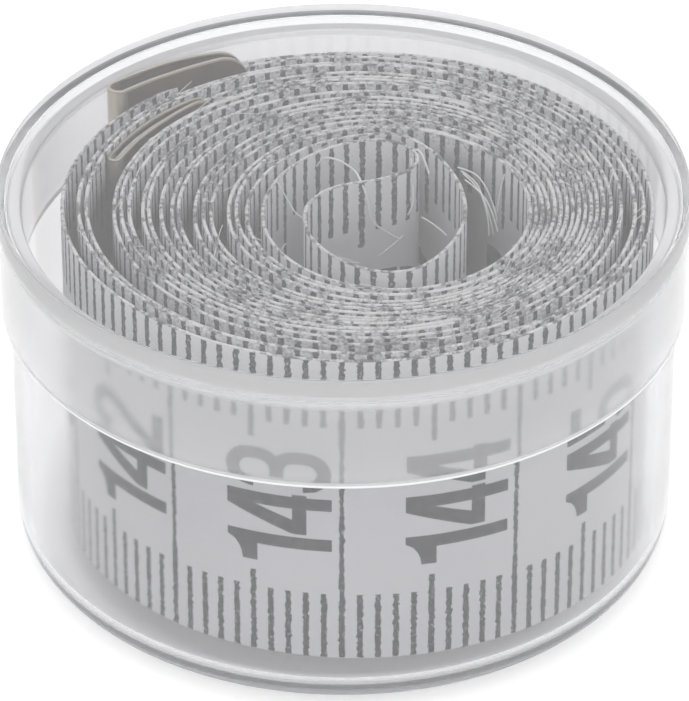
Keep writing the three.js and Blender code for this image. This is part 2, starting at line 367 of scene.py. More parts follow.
cloth_material, tree = new_material("white_coated_cloth")
uv = add(tree, "ShaderNodeUVMap", uv_map="scale_cm").outputs[0]
parts = add(tree, "ShaderNodeSeparateXYZ", {0: uv})
along_mm = add(tree, "ShaderNodeMath", {0: parts.outputs[0], 1: -10.0, 2: END_MARK * 10},
               operation="MULTIPLY_ADD").outputs[0]
across_mm = add(tree, "ShaderNodeMath", {0: parts.outputs[1], 1: 10.0}, operation="MULTIPLY").outputs[0]
ragged = add(tree, "ShaderNodeTexNoise", {"Vector": uv, **RAGGED_NOISE})
drift = add(tree, "ShaderNodeMath", {0: ragged.outputs[0], 1: 2 * INK_RAGGED, 2: -INK_RAGGED},
            operation="MULTIPLY_ADD").outputs[0]
inked_at = add(tree, "ShaderNodeMath", {0: along_mm, 1: drift}, operation="ADD").outputs[0]
far_edge = add(tree, "ShaderNodeMath", {0: TAPE_WIDTH, 1: across_mm}, operation="SUBTRACT").outputs[0]
from_edge = add(tree, "ShaderNodeMath", {0: across_mm, 1: far_edge}, operation="MINIMUM").outputs[0]
print_low = add(tree, "ShaderNodeMath", {0: across_mm, 1: PRINT_RAISED}, operation="SUBTRACT").outputs[0]
print_high = add(tree, "ShaderNodeMath", {0: far_edge, 1: PRINT_RAISED}, operation="ADD").outputs[0]
print_edge = add(tree, "ShaderNodeMath", {0: print_low, 1: print_high}, operation="MINIMUM").outputs[0]


def printed_lines(spacing, half_width, length):
    """Ink of lines at a spacing along the tape, reaching in from both edges by about a length."""
    half = add(tree, "ShaderNodeMath", {0: inked_at, 1: spacing / 2}, operation="PINGPONG").outputs[0]
    thin = add(tree, "ShaderNodeMath", {0: half, 1: half_width}, operation="LESS_THAN").outputs[0]
    reach = add(tree, "ShaderNodeMath", {0: print_edge, 1: length}, operation="LESS_THAN").outputs[0]
    return add(tree, "ShaderNodeMath", {0: thin, 1: reach}, operation="MULTIPLY").outputs[0]


ticks = printed_lines(1.0, TICK_HALF_WIDTH, TICK_LENGTH)
fives = printed_lines(5.0, TICK_HALF_WIDTH, FIVE_TICK_LENGTH)
lines = printed_lines(10.0, LINE_HALF_WIDTH, TAPE_WIDTH)
ink = add(tree, "ShaderNodeMath", {0: ticks, 1: fives}, operation="MAXIMUM").outputs[0]
ink = add(tree, "ShaderNodeMath", {0: ink, 1: lines}, operation="MAXIMUM").outputs[0]
on_face = add(tree, "ShaderNodeMath", {0: from_edge, 1: CUT_EDGE}, operation="GREATER_THAN").outputs[0]
ink = add(tree, "ShaderNodeMath", {0: ink, 1: on_face}, operation="MULTIPLY").outputs[0]
pinholes = add(tree, "ShaderNodeTexNoise", {"Vector": uv, **PINHOLE_NOISE}).outputs[0]
pinholes = add(tree, "ShaderNodeMapRange", {0: pinholes, **PINHOLE_RANGE}).outputs[0]
ink = add(tree, "ShaderNodeMath", {0: ink, 1: pinholes}, operation="MULTIPLY").outputs[0]
wear = add(tree, "ShaderNodeTexNoise", {"Vector": uv, **WEAR_NOISE}).outputs[0]
wear = add(tree, "ShaderNodeMapRange", {0: wear, **WEAR_RANGE}).outputs[0]
ink_colour = add(tree, "ShaderNodeMix", {0: wear, 6: linear(INK_GREY), 7: linear(INK_WORN)},
                 data_type="RGBA").outputs[2]
soil = add(tree, "ShaderNodeTexNoise", {"Vector": uv, **SOIL_NOISE}).outputs[0]
cloth_colour = add(tree, "ShaderNodeMix", {0: soil, 6: linear(CLOTH_WHITE), 7: linear(CLOTH_SOILED)},
                   data_type="RGBA").outputs[2]
# Between rolled layers near the edge: grey specks, partly rubbed wear and partly painted shade of frayed
# threads
rub_and_shade = add(tree, "ShaderNodeTexNoise", {"Vector": uv, **RUB_AND_SHADE_NOISE}).outputs[0]
rub_and_shade = add(tree, "ShaderNodeMapRange", {0: rub_and_shade, **RUB_AND_SHADE_RANGE}).outputs[0]
rub_and_shade_near = add(tree, "ShaderNodeMapRange", {0: from_edge, **RUB_AND_SHADE_FROM_EDGE}).outputs[0]
rub_and_shade = add(tree, "ShaderNodeMath", {0: rub_and_shade, 1: rub_and_shade_near}, operation="MULTIPLY").outputs[0]
# Between rolled layers, deeper below the edge: painted shade in the gaps between layers
gap_shade = add(tree, "ShaderNodeMapRange", {0: from_edge, **GAP_SHADE_FROM_EDGE}).outputs[0]
rub_and_shade = add(tree, "ShaderNodeMath", {0: rub_and_shade, 1: gap_shade}, operation="MAXIMUM").outputs[0]
rolled_in = add(tree, "ShaderNodeUVMap", uv_map="rolled_share").outputs[0]
rolled_in = add(tree, "ShaderNodeSeparateXYZ", {0: rolled_in}).outputs[0]
rub_and_shade = add(tree, "ShaderNodeMath", {0: rub_and_shade, 1: rolled_in}, operation="MULTIPLY").outputs[0]
cloth_colour = add(tree, "ShaderNodeMix", {0: rub_and_shade, 6: cloth_colour, 7: linear(RUB_AND_SHADE_GREY)},
                   data_type="RGBA").outputs[2]
place = add(tree, "ShaderNodeTexCoord").outputs["Object"]
# Cut edges: specks of painted shade among the frayed threads, gathered in patches
fray_shade = add(tree, "ShaderNodeTexNoise", {"Vector": place, **FRAY_SHADE_NOISE}).outputs[0]
fray_shade_patches = add(tree, "ShaderNodeTexNoise", {"Vector": place, **FRAY_SHADE_PATCH_NOISE}).outputs[0]
fray_shade = add(tree, "ShaderNodeMath", {0: fray_shade_patches, 1: FRAY_SHADE_PATCH_SHARE, 2: fray_shade}, operation="MULTIPLY_ADD").outputs[0]
fray_shade = add(tree, "ShaderNodeMapRange", {0: fray_shade, **FRAY_SHADE_RANGE}).outputs[0]
cut_colour = add(tree, "ShaderNodeMix", {0: fray_shade, 6: linear(CUT_EDGE_WHITE), 7: linear(CUT_EDGE_SHADE_GREY)},
                 data_type="RGBA").outputs[2]
cloth_colour = add(tree, "ShaderNodeMix", {0: on_face, 6: cut_colour, 7: cloth_colour},
                   data_type="RGBA").outputs[2]
shown = add(tree, "ShaderNodeMix", {0: ink, 6: cloth_colour, 7: ink_colour}, data_type="RGBA").outputs[2]
weave = add(tree, "ShaderNodeTexWave", {"Vector": uv, "Scale": 10 / THREAD_MM / math.tau * math.pi,
            **WEAVE_WAVE}, bands_direction="DIAGONAL")
fine = add(tree, "ShaderNodeBump", {"Height": weave.outputs[1], **WEAVE_BUMP})
shader = add(tree, "ShaderNodeBsdfPrincipled", {"Base Color": shown, "Roughness": CLOTH_ROUGHNESS,
             "IOR": COAT_IOR, "Normal": fine.outputs[0]})
add(tree, "ShaderNodeOutputMaterial", {"Surface": shader.outputs[0]})
tape.data.materials.append(cloth_material)
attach(tape, "coil")
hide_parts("tape")


# Printed numbers
# The centimetres are printed in heavy plain figures between the lines, turned a quarter so that they read
# up the tape, on both faces. Each figure is a thin film of ink that follows the tape's curve.
FIGURE_HEIGHT = 5.95
FIGURE_WIDTH = 2.8
FIGURE_STROKE = 0.8
FIGURE_SPACE = 0.22
FIGURE_FROM_LINE = 0.55
FIGURE_CUT = 0.6
ROUND_STEPS = 8
SAME_POINT = 0.0001
SHARPEST_MITRE = 0.5
FACING_UP = 0.5
FILM_LIFT = 0.012
FIRST_NUMBER = 2
LAST_NUMBER = 148


def bow(x, y, radius, start, end):
    """Points of a round stroke about a centre, with its angles in degrees."""
    return [(x + radius * math.cos(math.radians(a)), y + radius * math.sin(math.radians(a)))
            for a in np.linspace(start, end, ROUND_STEPS + 1)]


def figure_strokes():
    """Each figure's width and strokes: ("run", points), ("ring", points) or ("patch", corner points)."""
    w, h, s = FIGURE_WIDTH, FIGURE_HEIGHT, FIGURE_STROKE
    left, right, low, high = s / 2, w - s / 2, s / 2, h - s / 2
    mid = w / 2
    r = mid - left
    waist = 0.51 * h
    foot = bow(mid, low + r, r, 0, -180)
    crown = bow(mid, high - r, r, 180, 0)
    bowl_low = [*bow(mid, waist - r, r, 90, 0), *foot]
    six = [("ring", [*bow(mid, waist - r, r, 180, 0), *foot]),
           ("run", [(left, low + r), (left, waist - r), (left + 0.05, 0.57 * h), (left + 0.3, 0.71 * h),
                    (left + 0.75, 0.84 * h), (mid + 0.45, high)])]
    return {
        "0": (w, [("ring", [*crown, *foot])]),
        "1": (1.95, [("patch", [(1.15, 0), (1.95, 0), (1.95, h), (1.45, h), (1.2, h - 0.42),
                                (0.85, h - 0.68), (0.45, h - 0.83), (0, h - 0.9), (0, h - 1.75),
                                (1.15, h - 1.75)])]),
        "2": (w, [("run", [(left, high - r - 0.3), *crown, (right - 0.12, high - r - 0.75),
                           (left + 0.12, s * 0.8)]),
                  ("patch", [(0, 0), (w, 0), (w, s), (0, s)])]),
        "3": (w, [("run", [(left, high - r - 0.15), *crown, *bow(mid, waist + r, r, 0, -90),
                           (mid - 0.45, waist)]),
                  ("run", [(mid - 0.45, waist), *bowl_low, (left, low + r + 0.2)])]),
        "4": (2.65, [("patch", [(1.7, 0), (1.7 + s, 0), (1.7 + s, h), (1.7, h)]),
                     ("patch", [(0, 1.4), (2.65, 1.4), (2.65, 1.4 + s), (0, 1.4 + s)]),
                     ("patch", [(0, 1.4 + s), (0.95, 1.4 + s), (2.3, h), (1.45, h)])]),
        "5": (w, [("patch", [(0.15, h - s), (w - 0.15, h - s), (w - 0.15, h), (0.15, h)]),
                  ("patch", [(0.15, waist - 0.3), (0.15 + s, waist - 0.3), (0.15 + s, h), (0.15, h)]),
                  ("run", [(0.5, waist - 0.1), (mid - 0.5, waist + 0.22),
                           *bow(mid, waist + 0.3 - r, r, 80, 0), *foot, (left, low + r + 0.2)])]),
        "6": (w, six),
        "7": (w, [("patch", [(0, h - s), (w, h - s), (w, h), (0, h)]),
                  ("patch", [(0.5, 0), (1.38, 0), (w, h - s), (w - 0.92, h - s)])]),
        "8": (w, [("ring", [*crown, *bow(mid, waist + r, r, 0, -180)]),
                  ("ring", [*bow(mid, waist - r, r, 180, 0), *foot])]),
        "9": (w, [(kind, [(w - x, h - y) for x, y in points]) for kind, points in six]),
    }


def stroke_plate(kind, points):
    """A plate for one stroke, thick enough to be joined to those of the other strokes."""
    points = np.array(points)
    moved = np.linalg.norm(np.diff(points, axis=0), axis=1) > SAME_POINT
    points = points[np.concatenate([[True], moved])]
    count = len(points)
    if kind == "patch":
        outline, faces = points, [tuple(range(count))]
    else:
        before = np.roll(points, 1, axis=0)
        after = np.roll(points, -1, axis=0)
        if kind == "run":
            before[0], after[-1] = 2 * points[0] - points[1], 2 * points[-1] - points[-2]
        into = (points - before) / np.linalg.norm(points - before, axis=1)[:, None]
        out = (after - points) / np.linalg.norm(after - points, axis=1)[:, None]
        bisector = into + out
        bisector /= np.linalg.norm(bisector, axis=1)[:, None]
        side = np.stack([-bisector[:, 1], bisector[:, 0]], axis=1)
        reach = FIGURE_STROKE / 2 / np.maximum(SHARPEST_MITRE, (bisector * into).sum(1))
        outline = np.concatenate([points + side * reach[:, None], points - side * reach[:, None]])
        last = count if kind == "ring" else count - 1
        faces = [(i, i + count, (i + 1) % count + count, (i + 1) % count) for i in range(last)]
    plate = new_object("stroke", np.column_stack([outline, np.zeros(len(outline))]), faces)
    use_alone(plate)
    bpy.ops.object.mode_set(mode="EDIT")
    bpy.ops.mesh.select_all(action="SELECT")
    bpy.ops.mesh.extrude_region_move(TRANSFORM_OT_translate={"value": (0, 0, 1)})
    bpy.ops.mesh.select_all(action="SELECT")
    bpy.ops.mesh.normals_make_consistent(inside=False)
    bpy.ops.object.mode_set(mode="OBJECT")
    return plate


def figure_film(strokes):
    """Points and faces of one figure's flat film, cut across so that it can follow a curve."""
    film = stroke_plate(*strokes[0])
    for kind, points in strokes[1:]:
        plate = stroke_plate(kind, points)
        finish_modifier(film, "BOOLEAN", operation="UNION", object=plate, solver="EXACT")
        bpy.data.objects.remove(plate)
    use_alone(film)
    bpy.ops.object.mode_set(mode="EDIT")
    bpy.ops.mesh.select_all(action="DESELECT")
    bpy.ops.mesh.select_mode(type="FACE")
    mesh = bmesh.from_edit_mesh(film.data)
    for face in mesh.faces:
        face.select = face.normal.z < FACING_UP
    bmesh.update_edit_mesh(film.data)
    bpy.ops.mesh.delete(type="FACE")
    for cut in np.arange(FIGURE_CUT, FIGURE_HEIGHT, FIGURE_CUT):
        bpy.ops.mesh.select_all(action="SELECT")
        bpy.ops.mesh.bisect(plane_co=(0, cut, 0), plane_no=(0, 1, 0))
    bpy.ops.mesh.select_all(action="SELECT")
    bpy.ops.mesh.quads_convert_to_tris()
    bpy.ops.object.mode_set(mode="OBJECT")
    points = np.array([v.co[:2] for v in film.data.vertices])
    faces = [tuple(f.vertices) for f in film.data.polygons]
    bpy.data.objects.remove(film)
    return points, faces


figures = {figure: (width, *figure_film(strokes)) for figure, (width, strokes) in figure_strokes().items()}
film_points, film_faces = [], []
film_count = 0
for face_side in (1, -1):
    lift = face_side * (TAPE_THICKNESS / 2 + FILM_LIFT)
    for number in range(FIRST_NUMBER, LAST_NUMBER + 1):
        word = str(number)
        line_at = (END_MARK - number) * 10 if face_side > 0 else (END_MARK - SCALE_CM + number) * 10
        word_width = sum(figures[figure][0] for figure in word) + FIGURE_SPACE * (len(word) - 1)
        across = TAPE_WIDTH / 2 + PRINT_RAISED - word_width / 2
        for figure in word:
            width, points, faces = figures[figure]
            distance = line_at + face_side * (FIGURE_FROM_LINE + points[:, 1])
            film_points.append(on_tape(distance, across + points[:, 0], lift))
            film_faces += [tuple(i + film_count for i in f) for f in faces]
            film_count += len(points)
            across += width + FIGURE_SPACE
numbers = new_object("tape_numbers", np.concatenate(film_points), film_faces)

# Printing ink: thin matt dark grey ink, mottled where the coat of the cloth has rubbed
INK_ROUGHNESS = 0.6
MOTTLE_NOISE = {"Scale": 1800.0, "Detail": 4.0, "Roughness": 0.7}
MOTTLE_RANGE = {1: 0.45, 2: 0.72}
ink_material, tree = new_material("dark_grey_printing_ink")
place = add(tree, "ShaderNodeTexCoord").outputs["Object"]
mottle = add(tree, "ShaderNodeTexNoise", {"Vector": place, **MOTTLE_NOISE}).outputs[0]
mottle = add(tree, "ShaderNodeMapRange", {0: mottle, **MOTTLE_RANGE}).outputs[0]
mottled = add(tree, "ShaderNodeMix", {0: mottle, 6: linear(INK_GREY), 7: linear(INK_WORN)},
              data_type="RGBA").outputs[2]
shader = add(tree, "ShaderNodeBsdfPrincipled", {"Base Color": mottled, "Roughness": INK_ROUGHNESS,
             "IOR": COAT_IOR})
add(tree, "ShaderNodeOutputMaterial", {"Surface": shader.outputs[0]})
numbers.data.materials.append(ink_material)
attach(numbers, "coil")


# Frayed threads
# Cotton threads that have worked out of the tape's cut edges. A few long ones hang across the hole, and
# short ones stand off the upper edge of the coil. They are thin loose ends of the cloth itself.

# Radii of a long thread, of a thinner one and of a short hair
LONG_THREAD = 0.065
HANGING_THREAD = 0.045
SHORT_HAIR = 0.022

SHORT_HAIRS = 170
HAIR_SEED = 21
HAIRS_AFTER = 110
HAIRS_BEFORE_END = 20
HAIR_REACH = (0.4, 1.5)
HAIR_LEAN = (-0.6, 0.6)
HAIR_LIFT = (0.05, 0.3)
HAIR_CEILING = 21.7
THREAD_STEPS = 5
THREAD_ORDER = 3
THREAD_SIDES = 1

# A hair's three points: shares of its reach along the tape, of its lift over the edge and of its lean
HAIR_ALONG = np.array((0.0, 0.5, 1.0))
HAIR_OVER = np.array((-0.1, 0.6, 1.0))
HAIR_ASIDE = np.array((0.0, 0.4, 1.0))

# Points of the hanging threads in the coil's own plan and height above its lower edge
HANGING_THREADS = [
    (LONG_THREAD, [(-2.3, 5.1, 18.4), (-2.0, 5.0, 19.15), (-0.9, 4.2, 19.3), (-0.1, 3.0, 19.38),
                   (0.2, 1.9, 19.42), (0.65, 1.3, 18.55), (0.8, 1.35, 16.9), (1.7, 1.7, 16.0),
                   (2.2, 1.9, 15.5), (2.5, 2.0, 15.3)]),
    (HANGING_THREAD, [(2.75, 2.2, 15.4), (2.0, 1.6, 15.0), (1.3, 1.2, 14.6)]),
    (HANGING_THREAD, [(3.8, 0.8, 17.5), (4.5, 0.3, 17.4), (5.2, -0.4, 17.0)]),
    (LONG_THREAD, [(3.4, 5.8, 19.1), (3.6, 5.5, 19.3), (3.95, 4.8, 19.2), (4.25, 4.2, 18.4)]),
    (HANGING_THREAD, [(3.2, 4.6, 19.2), (3.3, 3.2, 18.2), (3.35, 2.6, 17.2), (3.0, 2.2, 16.8)]),
    (HANGING_THREAD, [(6.1, 3.2, 19.2), (6.9, 2.6, 19.0), (7.4, 1.8, 18.2), (7.8, 1.4, 17.0),
                      (8.0, 1.3, 16.0)]),
    (HANGING_THREAD, [(6.2, 2.9, 19.2), (7.0, 2.1, 18.9), (7.5, 1.3, 18.0), (7.7, 0.9, 16.9),
                      (7.7, 0.9, 16.2)]),
    (HANGING_THREAD, [(6.3, 2.2, 19.2), (7.2, 1.6, 18.8), (7.9, 1.0, 17.8), (8.2, 0.7, 16.6)]),
    (HANGING_THREAD, [(5.9, 3.6, 19.2), (6.9, 3.3, 19.1), (7.6, 2.6, 18.4), (8.1, 2.0, 17.2),
                      (8.2, 1.8, 16.6)]),
    (HANGING_THREAD, [(8.6, 2.8, 19.2), (8.3, 2.4, 18.2), (8.2, 2.2, 17.0)]),
    (HANGING_THREAD, [(-4.6, 2.0, 19.2), (-4.0, 1.6, 18.2), (-3.4, 0.9, 17.4), (-2.6, 0.7, 17.3)]),
]

thread_runs = [(thickness, in_box(*np.array(points).T)) for thickness, points in HANGING_THREADS]
hair_draw = np.random.default_rng(HAIR_SEED)
for at in hair_draw.uniform(HAIRS_AFTER, tape_length - HAIRS_BEFORE_END, SHORT_HAIRS):
    reach = hair_draw.uniform(*HAIR_REACH)
    lean = hair_draw.uniform(*HAIR_LEAN)
    lifted = hair_draw.uniform(*HAIR_LIFT)
    hair = on_tape(at + HAIR_ALONG * reach, TAPE_WIDTH + HAIR_OVER * lifted, HAIR_ASIDE * lean)
    if hair[:, 2].max() < HAIR_CEILING * MM:
        thread_runs.append((SHORT_HAIR, hair))
threads_curve = bpy.data.curves.new("loose_threads", "CURVE")
threads_curve.dimensions = "3D"
threads_curve.resolution_u = THREAD_STEPS
threads_curve.bevel_depth = MM
threads_curve.bevel_resolution = THREAD_SIDES
threads_curve.use_fill_caps = True
for thickness, points in thread_runs:
    run = threads_curve.splines.new("NURBS")
    run.points.add(len(points) - 1)
    run.order_u = THREAD_ORDER
    run.use_endpoint_u = True
    for knot, point in zip(run.points, points):
        knot.co = (*point, 1.0)
        knot.radius = thickness
threads = bpy.data.objects.new("loose_threads", threads_curve)
bpy.context.scene.collection.objects.link(threads)
use_alone(threads)
bpy.ops.object.convert(target="MESH")
threads = bpy.context.object
bpy.ops.object.shade_smooth()

# Cotton thread: soft white and fully matt, a little unevenly bleached along its length
THREAD_WHITE = "#f3f3f2"
THREAD_SHADE = "#d2d2d1"
THREAD_ROUGHNESS = 0.85
THREAD_IOR = 1.45
BLEACH_NOISE = {"Scale": 900.0, "Detail": 2.0}
thread_material, tree = new_material("white_cotton_thread")
place = add(tree, "ShaderNodeTexCoord").outputs["Object"]
bleach = add(tree, "ShaderNodeTexNoise", {"Vector": place, **BLEACH_NOISE}).outputs[0]
thread_colour = add(tree, "ShaderNodeMix", {0: bleach, 6: linear(THREAD_WHITE), 7: linear(THREAD_SHADE)},
                    data_type="RGBA").outputs[2]
shader = add(tree, "ShaderNodeBsdfPrincipled", {"Base Color": thread_colour, "Roughness": THREAD_ROUGHNESS,
             "IOR": THREAD_IOR})
add(tree, "ShaderNodeOutputMaterial", {"Surface": shader.outputs[0]})
threads.data.materials.append(thread_material)
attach(threads, "coil")


# Tips
# A strip of tinned sheet steel is folded over each end of the tape, so that the fold guards the end, and
# pinched on. Its open corners are cut round. The outer one is pinched loosely and stands above the coil.
TIP_SHEET = 0.22
TIP_CORNER = 1.9
TIP_EDGE_ROUND = 0.07
TIP_SMOOTH = math.radians(45)
TIP_BELOW = 0.05
TIP_END = 0.35
TIP_ROWS = 9
CORNER_STATIONS = 9
LENGTH_STATIONS = 14
FOLD_STEPS = 12
PINCHED = 0.55
PINCH_REACH = 0.6

# Name, node, place of its fold along the tape, way inwards, length, half its opening, rise above the tape
TIPS = (
    ("outer_tip", "long_end_tip", TIP_END, 1, 8.9, 0.6, 0.72),
    ("inner_tip", "short_end_tip", tape_length - TIP_END, -1, 9.6, 0.34, 0.25),
)


def folded_tip(name, end_distance, inward, length, half_gap, above):
    """A tip out along the left face, round the end and back along the right, pinched at its mouth."""
    along = np.concatenate([
        TIP_CORNER * (1 - np.cos(np.linspace(0, math.pi / 2, CORNER_STATIONS))),
        np.linspace(TIP_CORNER, length, LENGTH_STATIONS)[1:]])
    short = TIP_CORNER * (1 - np.sin(np.arccos(np.clip(1 - along / TIP_CORNER, 0, 1))))
    short[along >= TIP_CORNER] = 0
    gap = half_gap * (PINCHED + (1 - PINCHED) * smooth_share(along, 0, PINCH_REACH * length))
    distance = end_distance + inward * (length - along)
    bottom = short - TIP_BELOW
    top = TAPE_WIDTH + above - short
    turns = np.linspace(0, math.pi, FOLD_STEPS + 1)[1:-1]
    columns = []
    for share in np.linspace(0, 1, TIP_ROWS):
        across = bottom + share * (top - bottom)
        left = on_tape(distance, across, gap)
        right = on_tape(distance, across, -gap)[::-1]
        middle = (left[-1] + right[0]) / 2
        aside = left[-1] - middle
        beyond = (left[-1] - left[-2]) / np.linalg.norm(left[-1] - left[-2])
        fold = [middle + aside * math.cos(t) + beyond * half_gap * MM * math.sin(t) for t in turns]
        columns.append(np.concatenate([left, fold, right]))
    stations = len(columns[0])
    tip = new_object(name, np.concatenate(columns), grid_faces(TIP_ROWS, stations))
    strip = np.concatenate([[0], np.cumsum(np.linalg.norm(np.diff(columns[0], axis=0), axis=1))]) / MM
    sheet_map = tip.data.uv_layers.new(name="sheet_mm")
    for corner in tip.data.loops:
        row, station = divmod(corner.vertex_index, stations)
        below_rim = (TIP_ROWS - 1 - row) / (TIP_ROWS - 1) * TAPE_WIDTH
        sheet_map.data[corner.index].uv = (abs(strip[station] - strip[-1] / 2), below_rim)
    finish_modifier(tip, "SOLIDIFY", thickness=TIP_SHEET * MM, offset=0.0)
    finish_modifier(tip, "BEVEL", width=TIP_EDGE_ROUND * MM, segments=2, limit_method="ANGLE")
    use_alone(tip)
    bpy.ops.object.mode_set(mode="EDIT")
    bpy.ops.mesh.select_all(action="SELECT")
    bpy.ops.mesh.normals_make_consistent(inside=False)
    bpy.ops.object.mode_set(mode="OBJECT")
    bpy.ops.object.shade_smooth_by_angle(angle=TIP_SMOOTH)
    return tip


# Tinned steel: rolled sheet with a satin, slightly warm tin coat, fine rolling lines and rubbed patches.
# Along its upper rim it is paler in patches, partly rubbed tin and partly a painted highlight, and a
# painted highlight lies pale along the fold round the end of the tape.
TIN_BRIGHT = "#7a6147"
TIN_DULL = "#453321"
# Paler in patches along the upper rim: partly rubbed tin and partly a painted highlight on the rim
TIN_RUB_AND_HIGHLIGHT = "#b3aa9d"
# A painted highlight, pale along the fold round the end of the tape
TIN_FOLD_HIGHLIGHT = "#c4b9a9"
RIM_RUB_AND_HIGHLIGHT = 0.25
FOLD_HIGHLIGHT_REACH = {1: 0.78, 2: 1.3, 3: 1.0, 4: 0.0}
ROLLING_STRETCH = (300.0, 300.0, 9000.0)
ROLLING_NOISE = {"Scale": 1.0, "Detail": 3.0}
ROLLING_BUMP = {"Strength": 0.25, "Distance": 0.02 * MM}
PATCH_NOISE = {"Scale": 600.0, "Detail": 5.0, "Roughness": 0.65}
TIN_ROUGHNESS = {3: 0.28, 4: 0.5}
tin_material, tree = new_material("tinned_sheet_steel")
place = add(tree, "ShaderNodeTexCoord").outputs["Object"]
rolled = add(tree, "ShaderNodeMapping", {"Vector": place, "Scale": ROLLING_STRETCH}).outputs[0]
rolling = add(tree, "ShaderNodeTexNoise", {"Vector": rolled, **ROLLING_NOISE}).outputs[0]
patches = add(tree, "ShaderNodeTexNoise", {"Vector": place, **PATCH_NOISE}).outputs[0]
tin = add(tree, "ShaderNodeMix", {0: patches, 6: linear(TIN_BRIGHT), 7: linear(TIN_DULL)},
          data_type="RGBA").outputs[2]
sheet = add(tree, "ShaderNodeUVMap", uv_map="sheet_mm").outputs[0]
sheet = add(tree, "ShaderNodeSeparateXYZ", {0: sheet})
# Painted highlight along the fold
fold_highlight = add(tree, "ShaderNodeMapRange", {0: sheet.outputs[0], **FOLD_HIGHLIGHT_REACH}).outputs[0]
tin = add(tree, "ShaderNodeMix", {0: fold_highlight, 6: tin, 7: linear(TIN_FOLD_HIGHLIGHT)}, data_type="RGBA").outputs[2]
# Upper rim: partly rubbed tin and partly a painted highlight
rim_pale_to = add(tree, "ShaderNodeMath", {0: patches, 1: RIM_RUB_AND_HIGHLIGHT}, operation="MULTIPLY").outputs[0]
rim_rub_and_highlight = add(tree, "ShaderNodeMath", {0: sheet.outputs[1], 1: rim_pale_to}, operation="LESS_THAN").outputs[0]
tin = add(tree, "ShaderNodeMix", {0: rim_rub_and_highlight, 6: tin, 7: linear(TIN_RUB_AND_HIGHLIGHT)}, data_type="RGBA").outputs[2]
dull = add(tree, "ShaderNodeMapRange", {0: patches, **TIN_ROUGHNESS}).outputs[0]
scored = add(tree, "ShaderNodeBump", {"Height": rolling, **ROLLING_BUMP})
shader = add(tree, "ShaderNodeBsdfPrincipled", {"Base Color": tin, "Metallic": 1.0, "Roughness": dull,
             "Normal": scored.outputs[0]})
add(tree, "ShaderNodeOutputMaterial", {"Surface": shader.outputs[0]})

for name, node, end_distance, inward, length, half_gap, above in TIPS:
    tip = folded_tip(name, end_distance, inward, length, half_gap, above)
    tip.data.materials.append(tin_material)
    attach(tip, "coil")
    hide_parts(node)


# Box base
# A clear cup moulded in one piece from polystyrene: thin wall, flat floor, a well-rounded foot and a plain
# rim. The coil stands in it.
BASE_WALL = 0.9
BASE_FLOOR = 1.0
BASE_FOOT_ROUND = 2.0
BASE_FLOOR_ROUND = 1.2
BASE_RIM_ROUND = 0.3
ROUND_SIDES = 192
SHELL_SMOOTH = math.radians(35)
NEAR = 0.01


def choose(thing, kind, test):
    """In edit mode, selects faces by their middle or edges by both ends, by a test of radius and height."""
    bpy.ops.mesh.select_all(action="DESELECT")
    bpy.ops.mesh.select_mode(type=kind)
    mesh = bmesh.from_edit_mesh(thing.data)
    if kind == "FACE":
        for face in mesh.faces:
            middle = face.calc_center_median()
            face.select = test(math.hypot(middle.x, middle.y) / MM, middle.z / MM)
    else:
        for edge in mesh.edges:
            edge.select = all(test(math.hypot(v.co.x, v.co.y) / MM, v.co.z / MM) for v in edge.verts)
    mesh.select_flush_mode()
    bmesh.update_edit_mesh(thing.data)


def round_edge(thing, radius, height, amount, segments):
    """Rounds the ring of edges at a radius and height."""
    choose(thing, "EDGE", lambda r, z: abs(r - radius) < NEAR and abs(z - height) < NEAR)
    bpy.ops.mesh.bevel(offset=amount * MM, segments=segments, affect="EDGES", profile=0.5)


def round_blank(name, radius, low, high):
    """A plain upright disc of the given radius between two heights, open for shaping in edit mode."""
    bpy.ops.object.select_all(action="DESELECT")
    bpy.ops.mesh.primitive_cylinder_add(
        vertices=ROUND_SIDES, radius=radius * MM, depth=(high - low) * MM,
        location=(0, 0, (low + high) / 2 * MM))
    blank = bpy.context.object
    blank.name = name
    blank.data.name = name
    bpy.ops.object.transform_apply(location=True, rotation=True, scale=True)
    bpy.ops.object.mode_set(mode="EDIT")
    return blank


def hollow_out(shell, end, wall, reach):
    """Sinks the flat face at one end of a disc by a reach up or down, and leaves a wall round it."""
    choose(shell, "FACE", lambda r, z: r < 1 and abs(z - end) < NEAR)
    bpy.ops.mesh.inset(thickness=wall * MM)
    bpy.ops.mesh.extrude_region_move(TRANSFORM_OT_translate={"value": (0, 0, reach * MM)})


def finish_shell(shell):
    """Leaves edit mode and shades the shell smooth, so that its flats stay flat beside the rounds."""
    bpy.ops.object.mode_set(mode="OBJECT")
    bpy.ops.object.shade_smooth_by_angle(angle=SHELL_SMOOTH)
    finish_modifier(shell, "WEIGHTED_NORMAL", mode="FACE_AREA", weight=100, keep_sharp=True)


base_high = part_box("box_base")[1]
base_radius = base_high.x / MM
base_height = base_high.z / MM
base_inside = base_radius - BASE_WALL
base = round_blank("clear_cup", base_radius, 0.0, base_height)
hollow_out(base, base_height, BASE_WALL, BASE_FLOOR - base_height)
round_edge(base, base_radius, 0.0, BASE_FOOT_ROUND, 12)
round_edge(base, base_inside, BASE_FLOOR, BASE_FLOOR_ROUND, 8)
round_edge(base, base_radius, base_height, BASE_RIM_ROUND, 4)
round_edge(base, base_inside, base_height, BASE_RIM_ROUND / 2, 3)
finish_shell(base)

